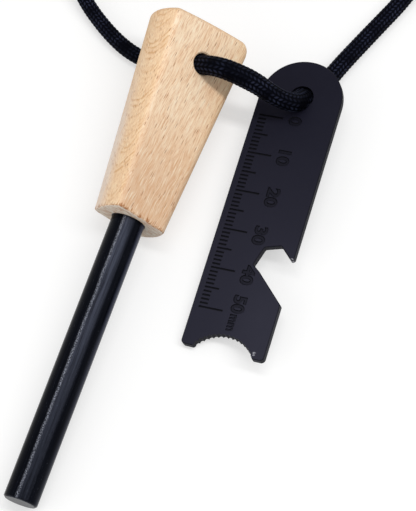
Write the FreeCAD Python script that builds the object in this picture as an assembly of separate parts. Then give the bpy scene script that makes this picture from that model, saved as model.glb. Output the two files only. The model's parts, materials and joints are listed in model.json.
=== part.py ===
"""Ferro rod fire starter: a ferrocerium rod in a tapered beech handle, with a flat steel striker
that doubles as ruler, bottle opener and scraper, both threaded on one braided neck cord.

Millimetres, +Z up. The set lies on a surface at z = 0 as it is laid down: the rod's tip and the
handle's lower long edge touch it, and so does one end corner of the striker. The origin is under
the middle of the handle, rod and striker, and the rod runs along Y with its tip towards -Y.
The spare length of the cord lies wound in a small coil behind the handle, held by a tie.
"""
import FreeCAD
import Part
import math
import os
from FreeCAD import Placement, Rotation, Vector

# Ferrocerium rod
ROD_DIAMETER = 8.0
ROD_EXPOSED = 70.5
ROD_IN_HANDLE = 24.0
ROD_END_CHAMFER = 0.4
GLUE_GAP = 0.2
GLUE_GROOVE_WIDTH = 1.6
GLUE_GROOVE_DEPTH = 0.4
GLUE_GROOVE_PITCH = 8.0
GLUE_GROOVE_COUNT = 3

# Beech handle: flat front and back, bulged sides, wider at the butt
HANDLE_LENGTH = 50.4
HANDLE_BUTT_WIDTH = 25.3
HANDLE_BUTT_SHIFT_LEFT = 0.3
HANDLE_ROD_END_WIDTH = 16.95
HANDLE_ROD_END_SHIFT_LEFT = 0.175
HANDLE_THICKNESS = 12.2
HANDLE_SIDE_BULGE = 1.8
HANDLE_EDGE_RADIUS = 2.0
HANDLE_BUTT_ROUNDING = 1.7
HANDLE_BUTT_CROWN_RADIUS = 200.0
HANDLE_BUTT_SKEW = 4.4
HANDLE_BUTT_LIFT = 1.16
HANDLE_ROD_END_ROUNDING = 0.6
HANDLE_HOLE_DIAMETER = 5.6
HANDLE_HOLE_FROM_BUTT = 9.2
HANDLE_HOLE_CHAMFER = 0.4
HANDLE_BLIND_END_GAP = 0.6
HANDLE_MOUTH_CHAMFER = 0.75

# Striker plate: measured from the centre of its cord hole, x across, y towards the round end
STRIKER_WIDTH = 20.55
STRIKER_HOLE_FROM_LEFT_EDGE = 10.45
STRIKER_THICKNESS = 2.0
STRIKER_HOLE_DIAMETER = 6.0
STRIKER_ROUND_END_DROP = 0.7
STRIKER_LENGTH_BELOW_HOLE = 66.05
STRIKER_LEFT_LOBE_RISE = 0.4
STRIKER_EDGE_CHAMFER = 0.2
LOBE_CORNER_RADIUS = 1.0
LOBE_TIP_RADIUS = 0.8

# Scraper: a hollow arc with round teeth between the two lobes at the plate's lower end
SCRAPER_ARC_RADIUS = 8.9
SCRAPER_ARC_DEPTH = 4.25
SCRAPER_TEETH_PITCH = 1.15
SCRAPER_TOOTH_RADIUS = 0.6
SCRAPER_TOOTH_DEPTH = 0.3

# Bottle opener: a notch in the right edge, under a short hook
NOTCH_HOOK_TIP_BELOW_HOLE = 40.9
NOTCH_ROOF_BELOW_HOLE = 37.8
NOTCH_CORNER_BELOW_HOLE = 38.9
NOTCH_HEEL_BELOW_HOLE = 43.5
NOTCH_KNEE_BELOW_HOLE = 45.05
NOTCH_MOUTH_END_BELOW_HOLE = 51.9
NOTCH_ROOF_FROM_EDGE = 3.9
NOTCH_CORNER_FROM_EDGE = 7.75
NOTCH_HEEL_FROM_EDGE = 9.2
NOTCH_KNEE_FROM_EDGE = 7.15
NOTCH_RADIUS = 0.5
HOOK_TIP_FROM_EDGE = 0.6
HOOK_TIP_RADIUS = 0.45

# Cord: braided, round, with the coil of its spare length
CORD_DIAMETER = 4.2
COIL_OUTER_RADIUS = 27.0
COIL_TURNS = 3.2
COIL_TURN_STEP = 4.75
COIL_LAYER_STEP = 4.7
TIE_WIDTH = 3.0
TIE_THICKNESS = 0.6
TIE_CLEARANCE = 0.3
TIE_CORNER_RADIUS = 2.0
KNOT_LENGTH = 12.0
KNOT_DIAMETER = 10.0
KNOT_END_DIAMETER = 6.0

# How the pieces lie: plan positions in millimetres and angles in degrees
TIP_X = -14.5
TIP_Y = -61.7
HANDLE_ROLL = 39.0
STRIKER_HOLE_X = 13.4
STRIKER_HOLE_Y = 52.5
STRIKER_YAW = 2.7
STRIKER_PITCH = 3.1
STRIKER_ROLL = 14.0
COIL_X = -29.5
COIL_Y = 104.3
COIL_START_TURN_SHARE = 0.25
TIE_PLACE_TURNS_SHARE = 0.1
KNOT_X = -56.0
KNOT_Y = 79.8
KNOT_HEADING = 120.0

# Share of each run of the cord that its bends take, and a step small enough to count as none
CORD_BEND_SHARE = 0.45
SMALL_STEP_SHARE = 0.0001

# Tools' reach past the surfaces that they cut
OVERRUN = 1.0

X_AXIS = Vector(1, 0, 0)
Y_AXIS = Vector(0, 1, 0)
Z_AXIS = Vector(0, 0, 1)
ORIGIN = Vector(0, 0, 0)

# Cord routes, chosen by hand. The first point of each lies in a hole or on the piece it joins.
LEFT_STRAND = [
    (-14.5, 49.8, 11.2),
    (-21.5, 50.3, 2.5),
    (-33.4, 53.5, 2.3),
    (-44.5, 61.3, 2.4),
    (-50.4, 70.0, 4.7),
    (-53.0, 74.6, 5.0),
]
BRIDGE = [
    (-14.5, 49.8, 11.2),
    (-7.8, 49.3, 19.4),
    (2.4, 48.1, 16.6),
    (11.5, 50.4, 11.7),
    (13.4, 52.5, 7.0),
]
RIGHT_STRAND = [
    (13.4, 52.5, 7.0),
    (15.3, 54.6, 2.3),
    (17.6, 63.7, 2.2),
    (23.0, 77.4, 2.2),
    (28.6, 91.1, 2.3),
    (31.1, 104.8, 2.3),
    (27.6, 118.6, 2.3),
    (16.8, 128.8, 2.3),
    (1.8, 132.5, 2.5),
    (-12.8, 131.8, 2.9),
    (-25.3, 131.4, 3.0),
]
COIL_TAIL = [
    (-56.6, 108.66, 7.7),
    (-59.39, 100.84, 7.7),
    (-61.7, 94.6, 6.3),
    (-61.6, 89.4, 5.2),
    (-59.0, 85.0, 5.0),
]


def rod_radius():
    return ROD_DIAMETER / 2


def handle_socket_radius():
    return rod_radius() + GLUE_GAP


# Handle

def side_radius():
    """Radius of the bulged side that rises HANDLE_SIDE_BULGE over the handle's thickness."""
    half = HANDLE_THICKNESS / 2
    return (HANDLE_SIDE_BULGE ** 2 + half ** 2) / (2 * HANDLE_SIDE_BULGE)


def edge_centre(width):
    """Centre of the rounding between the side and the flat face, in a section of this width."""
    up = HANDLE_THICKNESS / 2 - HANDLE_EDGE_RADIUS
    side_centre = width / 2 - side_radius()
    across = side_centre + math.sqrt((side_radius() - HANDLE_EDGE_RADIUS) ** 2 - up ** 2)
    return across, up


def section_quarter(width):
    """Edge points of one quarter of the section, from the side's middle to the flat face."""
    across, up = edge_centre(width)
    side_centre = width / 2 - side_radius()
    lean = math.atan2(up, across - side_centre)
    middle = (lean + math.pi / 2) / 2
    side_end = (across + HANDLE_EDGE_RADIUS * math.cos(lean), up + HANDLE_EDGE_RADIUS * math.sin(lean))
    edge_middle = (across + HANDLE_EDGE_RADIUS * math.cos(middle),
                   up + HANDLE_EDGE_RADIUS * math.sin(middle))
    return side_end, edge_middle, (across, HANDLE_THICKNESS / 2)


def handle_section(width, shift, y):
    side_end, edge_middle, face_end = section_quarter(width)
    half = width / 2

    def point(pair, across_sign, up_sign):
        return Vector(across_sign * pair[0] - shift, y, up_sign * pair[1])

    def arc(*points):
        return Part.Arc(*points).toShape()

    edges = [arc(point(side_end, 1, -1), point((half, 0), 1, 1), point(side_end, 1, 1)),
             arc(point(side_end, 1, 1), point(edge_middle, 1, 1), point(face_end, 1, 1)),
             Part.makeLine(point(face_end, 1, 1), point(face_end, -1, 1)),
             arc(point(face_end, -1, 1), point(edge_middle, -1, 1), point(side_end, -1, 1)),
             arc(point(side_end, -1, 1), point((half, 0), -1, 1), point(side_end, -1, -1)),
             arc(point(side_end, -1, -1), point(edge_middle, -1, -1), point(face_end, -1, -1)),
             Part.makeLine(point(face_end, -1, -1), point(face_end, 1, -1)),
             arc(point(face_end, 1, -1), point(edge_middle, 1, -1), point(side_end, 1, -1))]
    return Part.Wire(edges)


def edges_where(solid, is_on):
    """Edges of a solid whose ends and middle all pass this test of a point."""
    def passes(edge):
        middle = edge.valueAt((edge.FirstParameter + edge.LastParameter) / 2)
        return all(is_on(place) for place in [vertex.Point for vertex in edge.Vertexes] + [middle])

    return [edge for edge in solid.Edges if passes(edge)]


def handle_hole_y():
    return ROD_EXPOSED + HANDLE_LENGTH - HANDLE_HOLE_FROM_BUTT


def handle_blank():
    """Tapered body, with a slightly crowned butt that is cut a little askew: longer on the right."""
    rod_end, butt = ROD_EXPOSED, ROD_EXPOSED + HANDLE_LENGTH
    share = 1 + 2 * HANDLE_BUTT_WIDTH * math.sin(math.radians(HANDLE_BUTT_SKEW)) / HANDLE_LENGTH

    def beyond(at_rod_end, at_butt):
        return at_rod_end + (at_butt - at_rod_end) * share

    body = Part.makeLoft([handle_section(HANDLE_ROD_END_WIDTH, HANDLE_ROD_END_SHIFT_LEFT, rod_end),
                          handle_section(beyond(HANDLE_ROD_END_WIDTH, HANDLE_BUTT_WIDTH),
                                         beyond(HANDLE_ROD_END_SHIFT_LEFT, HANDLE_BUTT_SHIFT_LEFT),
                                         beyond(rod_end, butt))], True, True)
    crown = HANDLE_BUTT_CROWN_RADIUS
    skew = math.radians(HANDLE_BUTT_SKEW)
    centre = Vector(crown * math.sin(skew), butt + HANDLE_BUTT_LIFT - crown * math.cos(skew), 0)
    base = centre - Z_AXIS * HANDLE_THICKNESS
    body = body.common(Part.makeCylinder(crown, 2 * HANDLE_THICKNESS, base, Z_AXIS))
    tolerance = HANDLE_LENGTH * SMALL_STEP_SHARE

    def on_butt(place):
        return abs(math.hypot(place.x - centre.x, place.y - centre.y) - crown) < tolerance

    body = body.makeFillet(HANDLE_BUTT_ROUNDING, edges_where(body, on_butt))
    return body.makeFillet(HANDLE_ROD_END_ROUNDING,
                           edges_where(body, lambda place: abs(place.y - rod_end) < tolerance))


def handle():
    """Tapered beech handle with a blind socket for the rod and a cross hole for the cord."""
    rod_end = ROD_EXPOSED
    body = handle_blank()
    socket = Part.makeCylinder(handle_socket_radius(), ROD_IN_HANDLE + HANDLE_BLIND_END_GAP + OVERRUN,
                               Vector(0, rod_end - OVERRUN, 0), Y_AXIS)
    radius = HANDLE_HOLE_DIAMETER / 2
    top = HANDLE_THICKNESS / 2
    hole = Part.makeCylinder(radius, HANDLE_THICKNESS + 2 * OVERRUN,
                             Vector(0, handle_hole_y(), -top - OVERRUN), Z_AXIS)
    reach = HANDLE_MOUTH_CHAMFER + OVERRUN
    countersink = Part.makeCone(handle_socket_radius() + reach, handle_socket_radius(), reach,
                                Vector(0, rod_end - OVERRUN, 0), Y_AXIS)
    body = body.cut(socket).cut(countersink).cut(hole)
    for sign in (1, -1):
        mouth = Part.makeCone(radius, radius + HANDLE_HOLE_CHAMFER + OVERRUN,
                              HANDLE_HOLE_CHAMFER + OVERRUN,
                              Vector(0, handle_hole_y(), sign * (top - HANDLE_HOLE_CHAMFER)),
                              Z_AXIS * sign)
        body = body.cut(mouth)
    return body


def ferro_rod():
    """Round rod, with grooves for the glue in the end that the handle holds."""
    length = ROD_EXPOSED + ROD_IN_HANDLE
    rod = Part.makeCylinder(rod_radius(), length, ORIGIN, Y_AXIS)
    ends = [edge for edge in rod.Edges if edge.Curve.TypeId == "Part::GeomCircle"]
    rod = rod.makeChamfer(ROD_END_CHAMFER, ends)
    for index in range(GLUE_GROOVE_COUNT):
        place = Vector(0, ROD_EXPOSED + index * GLUE_GROOVE_PITCH, 0)
        ring = Part.makeCylinder(rod_radius() + OVERRUN, GLUE_GROOVE_WIDTH, place, Y_AXIS)
        core = Part.makeCylinder(rod_radius() - GLUE_GROOVE_DEPTH, GLUE_GROOVE_WIDTH, place, Y_AXIS)
        rod = rod.cut(ring.cut(core))
    return rod


def rod_adhesive():
    """Glue round the rod and in its grooves, from the foot of the socket's countersink inwards."""
    length = ROD_IN_HANDLE - HANDLE_MOUTH_CHAMFER - ROD_END_CHAMFER
    sleeve = Part.makeCylinder(handle_socket_radius(), length,
                               Vector(0, ROD_EXPOSED + HANDLE_MOUTH_CHAMFER, 0), Y_AXIS)
    return sleeve.cut(ferro_rod())


# Striker

def rounded_outline(corners):
    """Closed wire through (x, y, radius) corners, with each corner rounded by its radius."""
    count = len(corners)
    starts, ends, arcs = [], [], []
    for index, (x, y, radius) in enumerate(corners):
        corner = Vector(x, y, 0)
        before = (Vector(*corners[index - 1][:2], 0) - corner).normalize()
        after = (Vector(*corners[(index + 1) % count][:2], 0) - corner).normalize()
        half = before.getAngle(after) / 2
        reach = radius / math.tan(half)
        towards = (before + after).normalize()
        middle = corner + towards * (radius / math.sin(half) - radius)
        starts.append(corner + before * reach)
        ends.append(corner + after * reach)
        arcs.append(Part.Arc(starts[-1], middle, ends[-1]).toShape())
    edges = []
    for index in range(count):
        edges.append(arcs[index])
        edges.append(Part.makeLine(ends[index], starts[(index + 1) % count]))
    return Part.Wire(edges)


def scraper_arc_centre_y():
    return -STRIKER_LENGTH_BELOW_HOLE + SCRAPER_ARC_DEPTH - SCRAPER_ARC_RADIUS


def striker_right_edge():
    return STRIKER_WIDTH - STRIKER_HOLE_FROM_LEFT_EDGE


def striker_outline():
    """Right edge with the opener's notch, the lower end and the left edge, up to the round end."""
    edge = striker_right_edge()
    left = -STRIKER_HOLE_FROM_LEFT_EDGE
    end = -STRIKER_LENGTH_BELOW_HOLE
    top = STRIKER_WIDTH / 2 - STRIKER_ROUND_END_DROP
    dome_radius = STRIKER_WIDTH / 2 - STRIKER_EDGE_CHAMFER / 2
    return rounded_outline([
        (edge, top, dome_radius),
        (edge, -NOTCH_HOOK_TIP_BELOW_HOLE + HOOK_TIP_FROM_EDGE, HOOK_TIP_RADIUS),
        (edge - HOOK_TIP_FROM_EDGE, -NOTCH_HOOK_TIP_BELOW_HOLE, HOOK_TIP_RADIUS),
        (edge - NOTCH_ROOF_FROM_EDGE, -NOTCH_ROOF_BELOW_HOLE, NOTCH_RADIUS),
        (edge - NOTCH_CORNER_FROM_EDGE, -NOTCH_CORNER_BELOW_HOLE, NOTCH_RADIUS),
        (edge - NOTCH_HEEL_FROM_EDGE, -NOTCH_HEEL_BELOW_HOLE, NOTCH_RADIUS),
        (edge - NOTCH_KNEE_FROM_EDGE, -NOTCH_KNEE_BELOW_HOLE, NOTCH_RADIUS),
        (edge, -NOTCH_MOUTH_END_BELOW_HOLE, NOTCH_RADIUS),
        (edge, end, LOBE_CORNER_RADIUS),
        (left, end + STRIKER_LEFT_LOBE_RISE, LOBE_CORNER_RADIUS),
        (left, top, dome_radius),
    ])


def scraper_cut():
    """The hollow arc and its row of round teeth, as one cutting solid."""
    height = STRIKER_THICKNESS + 2 * OVERRUN
    middle = striker_right_edge() - STRIKER_WIDTH / 2
    base = Vector(middle, scraper_arc_centre_y(), -height / 2)
    cut = Part.makeCylinder(SCRAPER_ARC_RADIUS, height, base, Z_AXIS)
    lobe_level = -STRIKER_LENGTH_BELOW_HOLE + LOBE_TIP_RADIUS
    half_angle = math.acos((lobe_level - scraper_arc_centre_y()) / SCRAPER_ARC_RADIUS)
    count = int(2 * half_angle * SCRAPER_ARC_RADIUS / SCRAPER_TEETH_PITCH)
    pitch = SCRAPER_TEETH_PITCH / SCRAPER_ARC_RADIUS
    for index in range(count):
        angle = (index - (count - 1) / 2) * pitch
        out = SCRAPER_ARC_RADIUS + SCRAPER_TOOTH_DEPTH - SCRAPER_TOOTH_RADIUS
        centre = base + Vector(math.sin(angle), math.cos(angle), 0) * out
        cut = cut.fuse(Part.makeCylinder(SCRAPER_TOOTH_RADIUS, height, centre, Z_AXIS))
    return cut


def striker():
    """Flat steel plate with the cord hole, the opener's notch and the toothed scraper."""
    outline = Part.Face(striker_outline())
    plate = outline.extrude(Vector(0, 0, STRIKER_THICKNESS))
    plate.translate(Vector(0, 0, -STRIKER_THICKNESS / 2))
    rims = [edge for edge in plate.Edges if edge.BoundBox.ZLength < STRIKER_THICKNESS / 2]
    plate = plate.makeChamfer(STRIKER_EDGE_CHAMFER, rims)
    hole = Part.makeCylinder(STRIKER_HOLE_DIAMETER / 2, STRIKER_THICKNESS + 2 * OVERRUN,
                             Vector(0, 0, -STRIKER_THICKNESS / 2 - OVERRUN), Z_AXIS)
    return plate.cut(scraper_cut()).cut(hole)


# Placing

def section_drop(width, shift):
    """How far the rolled section of this width reaches below the rod's axis."""
    across, up = edge_centre(width)
    across -= shift
    roll = math.radians(HANDLE_ROLL)
    return across * math.sin(roll) + up * math.cos(roll) + HANDLE_EDGE_RADIUS


def handle_pitch():
    """Slope that rests the rod's tip and the handle's lower edge on the surface."""
    at_rod_end = (section_drop(HANDLE_ROD_END_WIDTH, HANDLE_ROD_END_SHIFT_LEFT) - rod_radius()) / ROD_EXPOSED
    at_butt = (section_drop(HANDLE_BUTT_WIDTH, HANDLE_BUTT_SHIFT_LEFT) - rod_radius()) / (ROD_EXPOSED + HANDLE_LENGTH)
    return math.degrees(math.atan(max(at_rod_end, at_butt)))


def handle_placement():
    """From the handle's own frame, at the rod's tip, to the set."""
    pitch = handle_pitch()
    turn = Rotation(X_AXIS, pitch) * Rotation(Y_AXIS, HANDLE_ROLL)
    height = rod_radius() * math.cos(math.radians(pitch))
    return Placement(Vector(TIP_X, TIP_Y, height), turn)


def striker_placement():
    """From the striker's own frame, at its hole, to the set, with its low corner on the surface."""
    turn = (Rotation(Z_AXIS, STRIKER_YAW) * Rotation(X_AXIS, STRIKER_PITCH)
            * Rotation(Y_AXIS, -STRIKER_ROLL))
    across = turn.multVec(X_AXIS).z
    along = turn.multVec(Y_AXIS).z
    normal = turn.multVec(Z_AXIS).z
    corner_x = STRIKER_HOLE_FROM_LEFT_EDGE - LOBE_CORNER_RADIUS
    corner_y = STRIKER_LENGTH_BELOW_HOLE - STRIKER_LEFT_LOBE_RISE - LOBE_CORNER_RADIUS
    height = (across * corner_x + along * corner_y + LOBE_CORNER_RADIUS * math.hypot(across, along)
              + normal * STRIKER_THICKNESS / 2)
    return Placement(Vector(STRIKER_HOLE_X, STRIKER_HOLE_Y, height), turn)


def placed(shape, placement):
    moved = shape.copy()
    moved.Placement = placement.multiply(moved.Placement)
    return moved


# Cord

def arc_edge(start, direction, end):
    """Arc from a start point and its direction to an end point."""
    chord = end - start
    angle = direction.getAngle(chord)
    side = (direction.cross(chord)).cross(direction).normalize()
    radius = chord.Length / (2 * math.sin(angle))
    centre = start + side * radius
    middle = centre + ((start - centre) + (end - centre)).normalize() * radius
    if angle > math.pi / 2:
        middle = centre * 2 - middle
    return Part.Arc(start, middle, end).toShape()


def route_path(points):
    """Straight runs through the points, joined by arcs as large as the runs allow."""
    corners = [Vector(*point) for point in points]
    edges, radii = [], []
    start = corners[0]
    for before, corner, after in zip(corners, corners[1:], corners[2:]):
        come = (corner - before).normalize()
        leave = (after - corner).normalize()
        reach = CORD_BEND_SHARE * min((corner - before).Length, (after - corner).Length)
        radii.append(reach / math.tan(come.getAngle(leave) / 2))
        enter, depart = corner - come * reach, corner + leave * reach
        edges.append(Part.makeLine(start, enter))
        edges.append(arc_edge(enter, come, depart))
        start = depart
    edges.append(Part.makeLine(start, corners[-1]))
    return Part.Wire(edges), radii


def tube(path):
    """Round cord along a wire path."""
    start = path.OrderedVertexes[0].Point
    first = path.OrderedEdges[0]
    heading = first.tangentAt(first.FirstParameter)
    profile = Part.Wire(Part.makeCircle(CORD_DIAMETER / 2, start, heading))
    return path.makePipeShell([profile], True, False)


def cord_stretch(name, points):
    path, radii = route_path(points)
    solid = tube(path)
    section = math.pi * CORD_DIAMETER ** 2 / 4
    print(name, "length", round(path.Length, 1), "volume share",
          round(solid.Volume / (section * path.Length), 4), "radii", [round(r, 1) for r in radii])
    return solid


def coil_radius(turns):
    """Radius of the winding: inwards on the first layer and outwards again on the second.

    The two layers join in the middle half turn, where the radius follows a parabola.
    """
    climb_start = COIL_TURNS / 2 - 1 / 4
    from_middle = turns - COIL_TURNS / 2
    if turns < climb_start:
        return COIL_OUTER_RADIUS - COIL_TURN_STEP * turns
    if turns > COIL_TURNS - climb_start:
        return COIL_OUTER_RADIUS - COIL_TURN_STEP * (COIL_TURNS - turns)
    inner = COIL_OUTER_RADIUS - COIL_TURN_STEP * climb_start
    return inner - COIL_TURN_STEP * (1 / 8 - 2 * from_middle ** 2)


def coil_height(turns):
    """Height of the cord's middle: one layer up in the half turn where the winding reverses."""
    lowest = TIE_THICKNESS + TIE_CLEARANCE + CORD_DIAMETER / 2
    share = min(max(2 * (turns - COIL_TURNS / 2) + 1 / 2, 0), 1)
    return lowest + COIL_LAYER_STEP * share * share * (3 - 2 * share)


def coil_point(turns):
    angle = 2 * math.pi * (turns + COIL_START_TURN_SHARE)
    radius = coil_radius(turns)
    return Vector(COIL_X + radius * math.cos(angle), COIL_Y + radius * math.sin(angle),
                  coil_height(turns))


def coil_heading(turns):
    low, high = max(turns - SMALL_STEP_SHARE, 0), min(turns + SMALL_STEP_SHARE, COIL_TURNS)
    return (coil_point(high) - coil_point(low)).normalize()


def biarc(start, start_heading, end, end_heading):
    """Two arcs that join two points with the given headings."""
    chord = end - start
    total = start_heading + end_heading
    spread = 2 * (1 - start_heading.dot(end_heading))
    along = chord.dot(total)
    reach = (math.sqrt(along ** 2 + spread * chord.dot(chord)) - along) / spread
    middle = (start + end + (start_heading - end_heading) * reach) / 2
    back = arc_edge(end, -end_heading, middle)
    return [arc_edge(start, start_heading, middle), back]


def coil_path():
    """The winding as arcs, a quarter turn at a time, with a straight end at each side."""
    spans = math.ceil(COIL_TURNS * 4)
    marks = [COIL_TURNS * index / spans for index in range(spans + 1)]
    edges = []
    for low, high in zip(marks, marks[1:]):
        edges += biarc(coil_point(low), coil_heading(low), coil_point(high), coil_heading(high))
    first = coil_point(0)
    last = coil_point(COIL_TURNS)
    edges.insert(0, Part.makeLine(first - coil_heading(0) * CORD_DIAMETER, first))
    edges.append(Part.makeLine(last, last + coil_heading(COIL_TURNS) * CORD_DIAMETER))
    return Part.Wire(Part.__sortEdges__(edges))


def least_gap():
    """Least clear distance between turns of the coil, measured on points along it."""
    steps = 60
    marks = [index / steps for index in range(int(COIL_TURNS * steps) + 1)]
    points = [coil_point(mark) for mark in marks]
    least = COIL_OUTER_RADIUS
    for index, point in enumerate(points):
        for other in points[index + steps // 2:]:
            least = min(least, (point - other).Length)
    return least - CORD_DIAMETER


def cord_coil():
    path = coil_path()
    solid = tube(path)
    section = math.pi * CORD_DIAMETER ** 2 / 4
    print("cord_coil length", round(path.Length, 1), "volume share",
          round(solid.Volume / (section * path.Length), 4), "least gap", round(least_gap(), 2),
          "ends", [tuple(round(v, 1) for v in vertex.Point)
                   for vertex in (path.OrderedVertexes[0], path.OrderedVertexes[-1])])
    return solid


def coil_tie():
    """Band round the coil's four cords, at the place where they lie two by two."""
    inner_turn = coil_radius(TIE_PLACE_TURNS_SHARE + 1)
    outer_turn = coil_radius(TIE_PLACE_TURNS_SHARE)
    half_width = (outer_turn - inner_turn + CORD_DIAMETER) / 2 + TIE_CLEARANCE
    half_height = (COIL_LAYER_STEP + CORD_DIAMETER) / 2 + TIE_CLEARANCE

    def block(grow, depth):
        corners = [(half_width + grow, half_height + grow), (-half_width - grow, half_height + grow),
                   (-half_width - grow, -half_height - grow), (half_width + grow, -half_height - grow)]
        wire = rounded_outline([(x, y, TIE_CORNER_RADIUS + grow) for x, y in corners])
        return Part.Face(wire).extrude(Vector(0, 0, depth))

    outer = block(TIE_THICKNESS, TIE_WIDTH)
    inner = block(0, TIE_WIDTH + 2 * OVERRUN)
    inner.translate(Vector(0, 0, -OVERRUN))
    band = outer.cut(inner)
    band.translate(Vector(0, 0, -TIE_WIDTH / 2))
    angle = 360 * (TIE_PLACE_TURNS_SHARE + COIL_START_TURN_SHARE)
    turn = Rotation(Z_AXIS, angle) * Rotation(X_AXIS, 90)
    radius = (inner_turn + outer_turn) / 2
    height = (coil_height(0) + coil_height(COIL_TURNS)) / 2
    spot = Rotation(Z_AXIS, angle).multVec(Vector(radius, 0, 0)) + Vector(COIL_X, COIL_Y, height)
    return placed(band, Placement(spot, turn))


def lanyard_knot():
    """Body of the knot that joins the cord's two ends."""
    half = KNOT_LENGTH / 2
    end = KNOT_END_DIAMETER / 2
    crown = Part.Arc(Vector(-half, end, 0), Vector(0, KNOT_DIAMETER / 2, 0), Vector(half, end, 0))
    profile = Part.Wire([Part.makeLine(Vector(-half, 0, 0), Vector(-half, end, 0)), crown.toShape(),
                         Part.makeLine(Vector(half, end, 0), Vector(half, 0, 0)),
                         Part.makeLine(Vector(half, 0, 0), Vector(-half, 0, 0))])
    body = Part.Face(profile).revolve(ORIGIN, X_AXIS, 360)
    spot = Vector(KNOT_X, KNOT_Y, KNOT_DIAMETER / 2)
    return placed(body, Placement(spot, Rotation(Z_AXIS, KNOT_HEADING)))


def build():
    at_handle = handle_placement()
    at_striker = striker_placement()
    return {
        "handle": placed(handle(), at_handle),
        "ferro_rod": placed(ferro_rod(), at_handle),
        "rod_adhesive": placed(rod_adhesive(), at_handle),
        "striker": placed(striker(), at_striker),
        "cord_left_strand": cord_stretch("cord_left_strand", LEFT_STRAND),
        "cord_bridge": cord_stretch("cord_bridge", BRIDGE),
        "cord_right_strand": cord_stretch("cord_right_strand", RIGHT_STRAND),
        "cord_coil": cord_coil(),
        "cord_coil_tail": cord_stretch("cord_coil_tail", COIL_TAIL),
        "lanyard_knot": lanyard_knot(),
        "coil_tie": coil_tie(),
    }


def report_places():
    """Print the places that the joints and mounts use."""
    at_handle = handle_placement()
    at_striker = striker_placement()
    hole = at_handle.multVec(Vector(0, handle_hole_y(), 0))
    print("handle pitch", round(handle_pitch(), 3))
    print("handle hole", hole, "axis", at_handle.Rotation.multVec(Z_AXIS))
    print("rod tip", at_handle.multVec(ORIGIN), "rod axis", at_handle.Rotation.multVec(-Y_AXIS))
    print("striker hole", at_striker.multVec(ORIGIN), "axis", at_striker.Rotation.multVec(Z_AXIS))
    print("coil start", coil_point(0), "end", coil_point(COIL_TURNS), coil_heading(COIL_TURNS))


def main():
    os.makedirs("parts", exist_ok=True)
    nodes = build()
    for name, shape in nodes.items():
        box = shape.BoundBox
        print(name, "valid", shape.isValid(), "solids", len(shape.Solids), "volume",
              round(shape.Volume, 1), "x", round(box.XMin, 2), round(box.XMax, 2),
              "y", round(box.YMin, 2), round(box.YMax, 2), "z", round(box.ZMin, 2), round(box.ZMax, 2))
        shape.exportStep("parts/" + name + ".step")
    report_places()


main()
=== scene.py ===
"""Looks of the ferro rod fire starter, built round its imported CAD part. Metres, +Z up.

The rod and its glue are the CAD solids with procedural materials. The handle is a copy of its solid,
changed by less than a millimetre to follow the photograph, and the striker's plate is a copy of its
solid with the ruler engraved. The braided cord, its knot and the tie of its coil are modelled here
along the same route as their solids.
"""

import json
import math

import bmesh
import bpy
import numpy as np
from mathutils import Matrix, Vector


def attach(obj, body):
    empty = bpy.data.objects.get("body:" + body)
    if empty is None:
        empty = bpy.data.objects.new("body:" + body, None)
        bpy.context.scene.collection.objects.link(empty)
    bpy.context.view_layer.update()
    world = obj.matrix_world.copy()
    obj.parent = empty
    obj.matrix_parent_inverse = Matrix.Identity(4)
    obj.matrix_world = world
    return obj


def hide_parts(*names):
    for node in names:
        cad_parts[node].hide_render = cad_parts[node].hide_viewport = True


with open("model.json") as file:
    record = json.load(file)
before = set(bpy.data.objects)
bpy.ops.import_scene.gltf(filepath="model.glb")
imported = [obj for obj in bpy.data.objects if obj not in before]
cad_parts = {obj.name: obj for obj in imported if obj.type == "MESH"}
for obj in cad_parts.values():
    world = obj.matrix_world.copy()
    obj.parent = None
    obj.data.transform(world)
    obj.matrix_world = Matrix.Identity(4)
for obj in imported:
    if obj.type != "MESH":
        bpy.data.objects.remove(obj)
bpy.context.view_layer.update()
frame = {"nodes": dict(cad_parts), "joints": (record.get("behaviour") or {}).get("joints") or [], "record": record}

MM = 0.001

# The photograph's view
CAMERA_PLACE = (0.0685, -0.1700, 0.4781)
CAMERA_TARGET = (0.0047, 0.0098, 0.0)
CAMERA_LENS = 154.1
CAMERA_SENSOR = 36.0
CAMERA_CLIP = (0.01, 10.0)

# Studio. A lamp is its direction, its size and the share of full white that it gives.
LAMP_DISTANCE = 0.9
KEY_LAMP = ((0.26, 0.16, 0.95), (1.24, 0.12), 0.57)
FILL_LAMP = ((-0.66, -0.54, 0.52), (0.70, 0.70), 0.20)
WORLD_SHARE = 0.52
FLOOR_HALF = 2.0
FLOOR_ALBEDO = 0.50
FLOOR_GLOW = 0.53

# Half the thickness of the handle and of the striker's plate, in millimetres
HANDLE_TOP = 6.1
PLATE_TOP = 1.0

# Cord, as in the part's source, with a few points moved to follow the photograph
CORD_DIAMETER = 4.2 * MM
LEFT_ROUTE = [
    (-0.0145, 0.0498, 0.0112),
    (-0.0218, 0.0518, 0.0025),
    (-0.0318, 0.0525, 0.0023),
    (-0.0457, 0.0615, 0.0024),
    (-0.0510, 0.0684, 0.0047),
    (-0.0530, 0.0746, 0.0050),
]
BRIDGE_ROUTE = [
    (-0.0145, 0.0498, 0.0112),
    (-0.0087, 0.0485, 0.0194),
    (0.0018, 0.0488, 0.0166),
    (0.0082, 0.0476, 0.0140),
    (0.0128, 0.0492, 0.0105),
    (0.0134, 0.0525, 0.0070),
]
RIGHT_ROUTE = [
    (0.0134, 0.0525, 0.0070),
    (0.0153, 0.0546, 0.0023),
    (0.0176, 0.0637, 0.0022),
    (0.0230, 0.0774, 0.0022),
    (0.0286, 0.0911, 0.0023),
    (0.0311, 0.1048, 0.0023),
    (0.0276, 0.1186, 0.0023),
    (0.0168, 0.1288, 0.0023),
    (0.0018, 0.1325, 0.0025),
    (-0.0128, 0.1318, 0.0029),
    (-0.0253, 0.1314, 0.0030),
]
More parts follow.
